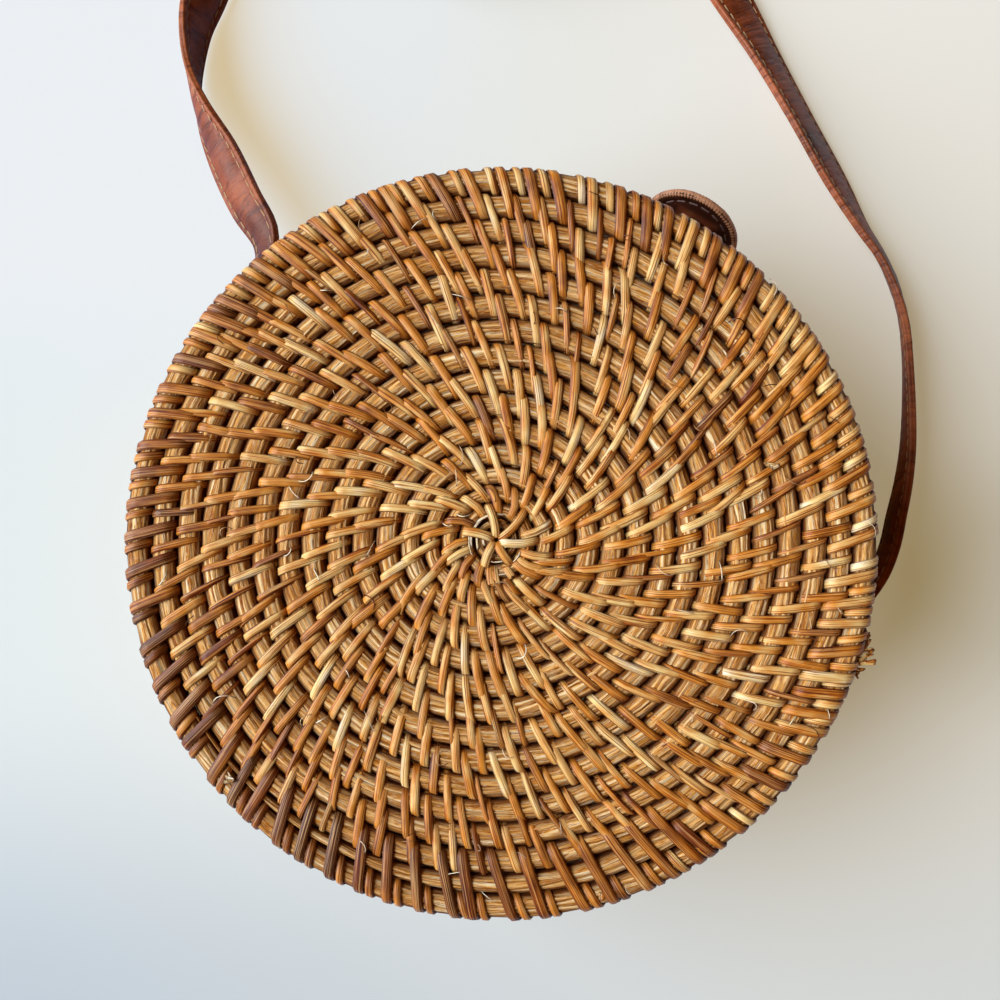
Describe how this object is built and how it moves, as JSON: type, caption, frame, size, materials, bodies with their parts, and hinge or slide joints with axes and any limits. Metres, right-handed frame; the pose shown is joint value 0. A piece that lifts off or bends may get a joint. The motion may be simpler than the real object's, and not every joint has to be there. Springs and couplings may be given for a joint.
{
  "type": "circle bag",
  "caption": "Round coiled cane shoulder bag: two shallow trays joined by a cane hinge, with a snap tab, cotton lining and a long leather strap.",
  "frame": {"origin": "centre of the back face, at the level that the bag lies on", "axes": "+Z from the back face to the front face, +Y towards the closing tab at the bag's own top, +X to the right of it; the lid's hinge is at -Y"},
  "size_m": [0.3069, 0.3449, 0.08],
  "materials": {
    "straw_core": "dry pale straw bundles with fine lengthwise fibres, matt",
    "cane_wrap": "split cane strips, honey to red-brown, satin",
    "strap_leather": "soft red-brown leather, folded and stitched, creased, slight sheen",
    "tab_leather": "firm red-brown leather with a stitched edge",
    "lining_cotton": "plain undyed cotton",
    "snap_brass": "antique brass, lightly tarnished"
  },
  "bodies": {
    "back_tray": {"back_centre_knot": "cane_wrap", "back_face_coil": "straw_core", "back_rim_hoop": "cane_wrap", "back_wall_coil": "straw_core", "back_mouth_hoop": "cane_wrap", "back_lining_base": "lining_cotton", "back_lining_band": "lining_cotton", "hinge_rod": "cane_wrap", "hinge_loops_back": "cane_wrap", "strap_patch_left": "tab_leather", "strap_patch_right": "tab_leather", "strap_rivets_left": "snap_brass", "strap_rivets_right": "snap_brass", "strap_washers_left": "snap_brass", "strap_washers_right": "snap_brass", "strap_run_left": "strap_leather", "strap_roll": "strap_leather", "strap_run_right": "strap_leather", "tab_root": "tab_leather", "tab_rivets": "snap_brass", "tab_washers": "snap_brass"},
    "front_tray": {"front_centre_knot": "cane_wrap", "front_face_coil": "straw_core", "front_rim_hoop": "cane_wrap", "front_wall_coil": "straw_core", "front_mouth_hoop": "cane_wrap", "front_lining_base": "lining_cotton", "front_lining_band": "lining_cotton", "hinge_loops_front": "cane_wrap", "snap_stud": "snap_brass", "stud_patch": "tab_leather", "stud_washer": "snap_brass"},
    "closing_flap": {"flap_leather_outer": "tab_leather", "flap_leather_inner": "tab_leather", "snap_cap": "snap_brass", "snap_socket": "snap_brass"}
  },
  "joints": [
    {"name": "lid_hinge", "type": "hinge", "parent": "back_tray", "child": "front_tray", "pos_m": [0, -0.1035, 0.04], "axis": [1, 0, 0], "range_deg": [0, 175]},
    {"name": "flap_bend", "type": "hinge", "parent": "back_tray", "child": "closing_flap", "pos_m": [0, 0.1028, 0.03], "axis": [-1, 0, 0], "range_deg": [-12, 108], "stiffness_Nm_per_rad": 0.02}
  ]
}
